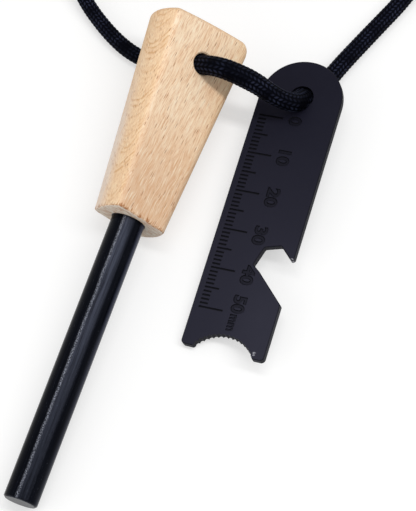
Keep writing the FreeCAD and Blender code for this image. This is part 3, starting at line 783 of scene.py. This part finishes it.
def wood_material():
    """Light beech with growth rings, fine wavy fibres, arcs on its sides and short brown dashes, with painted
    shade towards the right edge, towards the rod end and in the cord hole, and a painted sheen on the left side's
    back.
    """
    shader = Shader("beech")
    place = shader.local_mm(AT_HANDLE)
    x, y, z = shader.split(place)
    lean_x = shader.math("SUBTRACT", x, shader.times(y, 0.108))
    wave = shader.noise(shader.stretched(place, (0.25, 0.13, 0.25)), 1.0, 1.0)
    along_grain = shader.joined(shader.math("MULTIPLY_ADD", wave, 1.5, lean_x), y, z)
    fibre = shader.noise(shader.stretched(along_grain, (6.5, 0.50, 6.5)), 1.0, 4.0, 0.7)
    strands = shader.noise(shader.stretched(along_grain, (3.8, 0.28, 3.8)), 1.0, 2.5, 0.6)
    broad = shader.noise(shader.stretched(along_grain, (1.4, 0.09, 1.4)), 1.0, 3.0)
    patches = shader.noise(shader.stretched(place, (0.16, 0.05, 0.16)), 1.0, 2.0)
    side = shader.ramp(shader.math("ABSOLUTE", z), HANDLE_TOP - 0.05, HANDLE_TOP - 0.9)
    low = shader.times(shader.ramp(y, -9.0, -38.0), shader.math("SUBTRACT", 1.0, side))
    late, thin = growth_rings(shader, place, lean_x, y, z)
    streak = shader.math("MULTIPLY_ADD", side, -0.24, 0.58)
    dash = wood_dashes(shader, shader.joined(lean_x, y, z))

    # The end grain is greyer.
    end_y = shader.math("MULTIPLY_ADD", x, END_TILT, -END_TILT * END_TILT_FROM_X)
    end_y = shader.math("ADD", end_y, y)
    pores = shader.noise(shader.stretched(place, (0.7, 0.5, 3.2)), 1.0, 3.0, 0.6)
    end_grain = shader.mix(shader.ramp(pores, 0.36, 0.60), tone(222, 186, 156), tone(255, 244, 228))

    butt = shader.ramp(shader.math("MULTIPLY_ADD", x, -0.077, y), 8.9, 10.0)
    from_hole = shader.length(shader.math("SUBTRACT", x, HOLE_SHIFT[0]),
                              shader.math("SUBTRACT", y, HOLE_SHIFT[1]))

    base = shader.mix(shader.ramp(patches, 0.3, 0.7), tone(255, 232, 201), tone(253, 222, 187))
    for share, colour in (
            (shader.times(side, 0.55), tone(250, 214, 168)),
            # Painted shade: darker towards the right edge.
            (shader.times(shader.ramp(x, 3.0, 11.0), 0.65), tone(234, 194, 146)),
            # Painted shade: the front and back darker towards the rod end.
            (low, tone(228, 194, 161)),
            (shader.times(late, 0.12), tone(222, 166, 104)),
            (shader.times(thin, 0.06), tone(214, 152, 92)),
            (shader.times(shader.ramp(broad, 0.45, 0.65), 0.26), tone(228, 184, 140)),
            (shader.times(shader.ramp(fibre, 0.50, 0.66), 0.62), tone(214, 160, 118)),
            (shader.times(shader.ramp(strands, 0.50, 0.68), streak), tone(212, 158, 116)),
            (shader.times(shader.ramp(strands, 0.47, 0.30), streak), tone(255, 242, 218)),
            (shader.times(side_arcs(shader, place, y, z, side), 0.66), tone(214, 160, 104)),
            # Painted sheen on the back half of the left side.
            (painted_sheen_back(shader, x, y, z), tone(241, 231, 224)),
            (shader.times(dash, 0.80), tone(158, 98, 60)),
            (shader.ramp(end_y, ROD_END_Y + 0.18, ROD_END_Y + 0.08), end_grain),
            (shader.times(browned_edge(shader, place, end_y, strands), 0.85), tone(160, 96, 42)),
            (shader.times(butt, 0.35), tone(214, 172, 130)),
            # Painted shade on the cord hole's wall.
            (shader.times(shader.ramp(from_hole, 2.66, 2.54), 0.9), tone(60, 38, 24))):
        base = shader.mix(share, base, colour)
    height = shader.math("SUBTRACT", shader.times(fibre, 0.6), dash)
    shader.set(Base_Color=base, Roughness=0.58, Specular_IOR_Level=0.28,
               Normal=shader.bump(height, 0.035 * MM, 0.55))
    return shader.material


def share_between(value, start, end):
    """0 at start and before it, 1 at end and beyond it, straight between."""
    return min(max((value - start) / (end - start), 0.0), 1.0)


def moved_on_handle(x, y, z):
    """Where a point of the handle's solid lies on its copy."""
    share = share_between(y, SIDE_FULL_Y, ROD_END_Y)
    ridge = SIDE_RIDGE_X[0] + (SIDE_RIDGE_X[1] - SIDE_RIDGE_X[0]) * share
    if x < ridge:
        x = ridge + (x - ridge) * (1 - SIDE_LESS_SWELL * share)
    x += BACK_SHIFT * share * share_between(z, *BACK_SHIFT_Z) * share_between(x, *BACK_SHIFT_X)
    from_rod, from_hole = math.hypot(x, z), math.hypot(x, y)
    if y < MOUTH_BELOW_Y and from_rod < MOUTH_REACH:
        x, z = x * MOUTH_RADIUS / from_rod, z * MOUTH_RADIUS / from_rod
    if y < END_TILT_BELOW_Y:
        y -= END_TILT * (x - END_TILT_FROM_X)
    if 0 < from_hole < HOLE_REACH:
        kept = 1 - HOLE_LESS_RADIUS / from_hole
        x, y = x * kept + HOLE_SHIFT[0], y * kept + HOLE_SHIFT[1]
    near = max(1 - math.hypot(x - BUTT_CORNER[0], y - BUTT_CORNER[1]) / BUTT_CORNER_REACH, 0.0)
    return x - BUTT_CORNER_MOVE * near, y - BUTT_CORNER_MOVE * near, z


def make_handle_body():
    """The handle, as a copy of its solid with the changes above."""
    to_millimetres = (AT_HANDLE @ Matrix.Scale(MM, 4)).inverted()
    mesh = frame["nodes"]["handle"].data.copy()
    mesh.name = "handle_body"
    mesh.transform(to_millimetres)
    for vertex in mesh.vertices:
        vertex.co = moved_on_handle(*vertex.co)
    mesh.transform(to_millimetres.inverted())
    mesh.materials.clear()
    body = add_object("handle_body", mesh, wood_material())
    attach(body, "handle")
    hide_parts("handle")


# Rod and glue, also in the handle's frame

ROD_TIP_Y = -111.7
# Direction across the rod of the painted highlight line
HIGHLIGHT_LINE_SIDE = (-0.727, 0.687)

BEAD_STEPS = 96
# Radius and Y of the bead's section
BEAD_PROFILE = ((4.00, -40.45), (4.20, -40.45), (4.20, -41.18), (4.26, -41.24), (4.16, -41.34),
                (4.01, -41.42))
BEAD_INNER_RADIUS = 4.0
BEAD_FREE_BELOW_Y = -41.0


def dress(node, material):
    """Gives a CAD node a material of its own."""
    piece = frame["nodes"][node]
    piece.data.materials.clear()
    piece.data.materials.append(material)


def rod_material():
    """Dark coated ferrocerium, finely scratched along its length, with a painted highlight along one side and a
    bare end face.
    """
    shader = Shader("ferrocerium")
    place = shader.local_mm(AT_HANDLE)
    x, y, z = shader.split(place)
    streaks = shader.noise(shader.stretched(place, (2.6, 0.07, 2.6)), 1.0, 4.0, 0.65)
    specks = shader.noise(shader.stretched(place, (1.0, 0.6, 1.0)), 4.2, 3.0, 0.75)
    scars = shader.times(shader.ramp(specks, 0.60, 0.72), shader.ramp(streaks, 0.45, 0.60))

    # Painted highlight along one side: a line of bright specks, a band of painted reflection beside it and a paler
    # painted flank, all fading towards the tip.
    aside = shader.math("ADD", shader.times(x, HIGHLIGHT_LINE_SIDE[1]), shader.times(z, -HIGHLIGHT_LINE_SIDE[0]))
    faces_it = shader.math("ADD", shader.times(x, HIGHLIGHT_LINE_SIDE[0]), shader.times(z, HIGHLIGHT_LINE_SIDE[1]))
    wander = shader.noise(shader.joined(0.0, shader.times(y, 0.12), 0.0), 1.0, 2.0)
    aside = shader.math("MULTIPLY_ADD", wander, 0.5, shader.math("SUBTRACT", aside, 0.25))
    seen_by_it = shader.ramp(faces_it, 0.0, 1.0)
    line = shader.times(shader.ramp(shader.math("ABSOLUTE", aside), 0.52, 0.0), seen_by_it)
    grit = shader.noise(shader.stretched(place, (1.0, 0.7, 1.0)), 4.8, 2.0, 0.7)
    highlight_fade = shader.math("MULTIPLY_ADD", shader.ramp(y, -100.0, -45.0), 0.28, 0.12)
    band = shader.times(shader.ramp(aside, 3.0, 1.2), shader.ramp(aside, 0.0, 0.5),
                        shader.ramp(streaks, 0.30, 0.62), seen_by_it)
    painted_reflection_flank = shader.times(shader.ramp(faces_it, 2.0, 0.4), shader.ramp(aside, 2.4, 3.3))

    bare_metal = shader.mix(shader.noise(place, 1.6, 4.0, 0.7), tone(28, 30, 36), tone(64, 66, 74))
    coat = shader.mix(shader.ramp(streaks, 0.3, 0.75), tone(2, 3, 6), tone(9, 11, 18))
    # The painted highlight's line, band and flank are mixed in after the scratches.
    for share, colour in (
            (shader.times(scars, 0.40), tone(96, 100, 112)),
            (shader.times(band, highlight_fade), tone(96, 101, 118)),
            (shader.times(painted_reflection_flank, highlight_fade), tone(88, 94, 120)),
            (shader.times(line, shader.ramp(grit, 0.40, 0.64)), tone(146, 150, 163)),
            (shader.ramp(y, ROD_TIP_Y + 0.30, ROD_TIP_Y + 0.05), bare_metal)):
        coat = shader.mix(share, coat, colour)
    shader.set(Base_Color=coat, Roughness=shader.math("MULTIPLY_ADD", streaks, 0.16, 0.12),
               Specular_IOR_Level=0.05, Specular_Tint=tone(212, 220, 255),
               Normal=shader.bump(specks, 0.012 * MM, 0.5))
    return shader.material


def glue_material():
    shader = Shader("dark_glue")
    lumps = shader.noise(shader.local_mm(AT_HANDLE), 0.9, 2.0)
    shader.set(Base_Color=shader.mix(lumps, tone(14, 12, 12), tone(34, 28, 25)), Roughness=0.45,
               Specular_IOR_Level=0.15, Normal=shader.bump(lumps, 0.1 * MM, 0.4))
    return shader.material


def make_glue_bead(material):
    """Thin, slightly uneven bead of glue that fills the mouth round the rod."""
    points = []
    for step in range(BEAD_STEPS):
        angle = 2 * math.pi * step / BEAD_STEPS
        swell = 1 + 0.05 * math.sin(3 * angle + 0.6) + 0.04 * math.sin(7 * angle + 2.0)
        for radius, y in BEAD_PROFILE:
            grown = swell if y < BEAD_FREE_BELOW_Y else 1.0
            out = BEAD_INNER_RADIUS + (radius - BEAD_INNER_RADIUS) * grown
            points.append(AT_HANDLE @ Vector((out * math.cos(angle) * MM, y * MM,
                                              out * math.sin(angle) * MM)))
    count = len(BEAD_PROFILE)
    faces = [(step * count + k, step * count + (k + 1) % count,
              (step + 1) % BEAD_STEPS * count + (k + 1) % count, (step + 1) % BEAD_STEPS * count + k)
             for step in range(BEAD_STEPS) for k in range(count)]
    mesh = bpy.data.meshes.new("glue_bead")
    mesh.from_pydata([tuple(point) for point in points], [], faces)
    bm = bmesh.new()
    bm.from_mesh(mesh)
    bmesh.ops.recalc_face_normals(bm, faces=bm.faces)
    bm.to_mesh(mesh)
    bm.free()
    mesh.polygons.foreach_set("use_smooth", [True] * len(mesh.polygons))
    bead = add_object("glue_bead", mesh, material)
    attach(bead, "handle")


make_handle_body()
dress("ferro_rod", rod_material())
glue = glue_material()
dress("rod_adhesive", glue)
make_glue_bead(glue)


# Striker, in millimetres in its own frame: the cord hole at the origin, the scraper's end at -Y

TICKS_START = 6.12
TICKS_LEFT = -8.85
TICK_WIDTH = 0.46
ENGRAVING_DEPTH = 0.22
# Words, place of their middle, height and length
MARKS = (("0", 0.30, 6.35, 3.4, 2.5), ("10", 0.25, 16.15, 3.4, 4.1), ("20", 0.45, 26.40, 3.4, 5.1),
         ("30", 0.31, 36.30, 3.4, 4.9), ("40", 0.45, 46.40, 3.4, 5.1), ("50", 0.49, 53.85, 3.5, 4.6),
         ("mm", 0.04, 58.50, 1.8, 4.2))
# The words' thickening, half depth and slope in the font's size, and the lift of the cutter's top
TEXT_OFFSET = 0.012
TEXT_EXTRUDE = 0.5
TEXT_SLOPE = 0.045
TEXT_LIFT = 0.53
# Painted glints, as bare metal, at the tips of the hook and of the right lobe: place and size
WORN_GLINT_SPOTS = ((9.6, -40.7, 0.55), (7.5, -64.7, 0.6))
# The plate's materials, each with its share of the open face's colour. The grooves are dark as etched marks, and
# on the numerals' walls as painted shade; the plate's sides are darker as painted shade.
FACE, GROOVES, NUMERALS, SHADED_SIDES = range(4)
STEEL = (("black_steel", 1.0), ("black_steel_grooves", 0.12), ("black_steel_numerals", 0.55),
         ("black_steel_shaded_sides", 0.45))


def box_cutter(bm, low, high):
    made = bmesh.ops.create_cube(bm, size=1.0)
    for vertex in made["verts"]:
        for axis in range(3):
            vertex.co[axis] = low[axis] if vertex.co[axis] < 0 else high[axis]


def tick_length(number):
    if number % 10 == 0:
        return 6.0
    return 3.6 if number % 5 == 0 else 2.0


def text_mesh(words):
    """The words as a solid with sloping sides, in the font's own size."""
    curve = bpy.data.curves.new("words", "FONT")
    curve.body = words
    curve.size = 1.0
    curve.offset = TEXT_OFFSET
    curve.extrude = TEXT_EXTRUDE
    curve.bevel_depth = TEXT_SLOPE
    curve.bevel_resolution = 0
    curve.resolution_u = 5
    holder = bpy.data.objects.new("words", curve)
    bpy.context.scene.collection.objects.link(holder)
    bpy.context.view_layer.update()
    mesh = bpy.data.meshes.new_from_object(holder)
    bpy.data.objects.remove(holder)
    bpy.data.curves.remove(curve)
    return mesh


def add_text(bm, words, middle, height, length):
    """Cutter for words that read down the plate, their tops towards the notched edge."""
    mesh = text_mesh(words)
    points = np.array([vertex.co for vertex in mesh.vertices])
    low, high = points.min(0), points.max(0)
    scale_x = length / (high[0] - low[0])
    scale_y = height / (high[1] - low[1])
    floor = low[2] + TEXT_SLOPE / 2
    for vertex in mesh.vertices:
        x = (vertex.co.x - (low[0] + high[0]) / 2) * scale_x
        y = (vertex.co.y - (low[1] + high[1]) / 2) * scale_y
        z = PLATE_TOP - ENGRAVING_DEPTH if vertex.co.z < floor else PLATE_TOP + vertex.co.z + TEXT_LIFT
        vertex.co = (middle[0] + y, -middle[1] - x, z)
    bm.from_mesh(mesh)
    bpy.data.meshes.remove(mesh)


def engraving():
    """The ruler's marks as one cutter."""
    bm = bmesh.new()
    for number in range(51):
        middle = -TICKS_START - number
        box_cutter(bm, (TICKS_LEFT, middle - TICK_WIDTH / 2, PLATE_TOP - ENGRAVING_DEPTH),
                   (TICKS_LEFT + tick_length(number), middle + TICK_WIDTH / 2,
                    PLATE_TOP + ENGRAVING_DEPTH))
    tick_faces = len(bm.faces)
    for words, x, y, height, length in MARKS:
        add_text(bm, words, (x, y), height, length)
    bm.faces.ensure_lookup_table()
    # Numeral floors keep more of the face's colour. Every other cut face is dark: on the ticks as etched marks,
    # and on the numerals' walls as painted shade.
    for index, face in enumerate(bm.faces):
        face.normal_update()
        face.material_index = NUMERALS if index >= tick_faces and abs(face.normal.z) > 0.9 else GROOVES
    bmesh.ops.remove_doubles(bm, verts=bm.verts, dist=0.0005)
    bmesh.ops.recalc_face_normals(bm, faces=bm.faces)
    mesh = bpy.data.meshes.new("engraving")
    bm.to_mesh(mesh)
    bm.free()
    return mesh


def worn_glint_spots(shader, place):
    """Share of the painted glints, as bare metal, at the spots."""
    bare = 0.0
    for spot_x, spot_y, size in WORN_GLINT_SPOTS:
        near = shader.node("ShaderNodeVectorMath", {"operation": "DISTANCE"})
        shader.put(near, 0, shader.stretched(place, (1.0, 1.0, 0.0)))
        shader.put(near, 1, (spot_x, spot_y, 0.0))
        bare = shader.math("MAXIMUM", bare, shader.ramp(near.outputs["Value"], size, size * 0.5))
    return shader.times(bare, shader.ramp(shader.noise(place, 2.2, 2.0), 0.40, 0.60))


def steel_material(name, share):
    """Black matt coat on steel with a painted sheen: share 1 is the open face, lower ones are darker in the marks
    and as painted shade on the plate's sides and the numerals' walls.
    """
    shader = Shader(name)
    place = shader.local_mm(AT_STRIKER)
    x, y, _ = shader.split(place)
    mottle = shader.noise(place, 0.35, 3.0)
    orange_peel = shader.noise(place, 7.0, 2.0)
    # Painted sheen: lighter towards the scraper end, and more so at the lower right.
    right = shader.times(shader.ramp(x, -6.0, 9.0), shader.ramp(y, -30.0, -60.0))
    colour = shader.mix(shader.ramp(y, 8.0, -62.0), tone(18, 18, 31), tone(38, 38, 50))
    colour = shader.mix(shader.times(right, 0.6), colour, tone(50, 50, 62))
    colour = shader.mix(shader.times(mottle, 0.25), colour, tone(34, 34, 46))
    colour = shader.mix(share, tone(4, 4, 7), colour)
    # Painted glints at the tips.
    colour = shader.mix(shader.times(worn_glint_spots(shader, place), 0.8), colour, tone(176, 176, 184))
    shader.set(Base_Color=colour, Roughness=0.5, Specular_IOR_Level=0.07,
               Normal=shader.bump(orange_peel, 0.02 * MM, 0.35))
    return shader.material


def engraved(mesh, cut):
    """The plate's object with the cutter taken out; cut faces keep the cutter's materials."""
    plate = add_object("striker_plate", mesh)
    cutter = add_object("engraving", cut)
    boolean = plate.modifiers.new("engrave", "BOOLEAN")
    boolean.operation = "DIFFERENCE"
    boolean.solver = "MANIFOLD"
    boolean.object = cutter
    bpy.context.view_layer.update()
    graph = bpy.context.evaluated_depsgraph_get()
    final = bpy.data.meshes.new_from_object(plate.evaluated_get(graph))
    final.name = "striker_plate"
    plate.modifiers.clear()
    plate.data = final
    bpy.data.objects.remove(cutter)
    return plate


def make_striker():
    """The striker's plate, as a copy of its solid with the ruler engraved."""
    to_millimetres = (AT_STRIKER @ Matrix.Scale(MM, 4)).inverted()
    mesh = frame["nodes"]["striker"].data.copy()
    mesh.name = "striker_plate"
    mesh.transform(to_millimetres)
    if "custom_normal" in mesh.attributes:
        mesh.attributes.remove(mesh.attributes["custom_normal"])
    bm = bmesh.new()
    bm.from_mesh(mesh)
    bmesh.ops.remove_doubles(bm, verts=bm.verts, dist=0.001)
    bm.to_mesh(mesh)
    bm.free()
    mesh.materials.clear()
    cut = engraving()
    for name, share in STEEL:
        material = steel_material(name, share)
        mesh.materials.append(material)
        cut.materials.append(material)
    plate = engraved(mesh, cut)
    for face in plate.data.polygons:
        flat = abs(face.normal.z) > 0.99
        face.use_smooth = not flat
        # The plate's side faces take the darker material as painted shade.
        if not flat and face.material_index == FACE:
            face.material_index = SHADED_SIDES
    plate.data.set_sharp_from_angle(angle=math.radians(30))
    plate.data.transform(to_millimetres.inverted())
    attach(plate, "striker")
    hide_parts("striker")


make_striker()
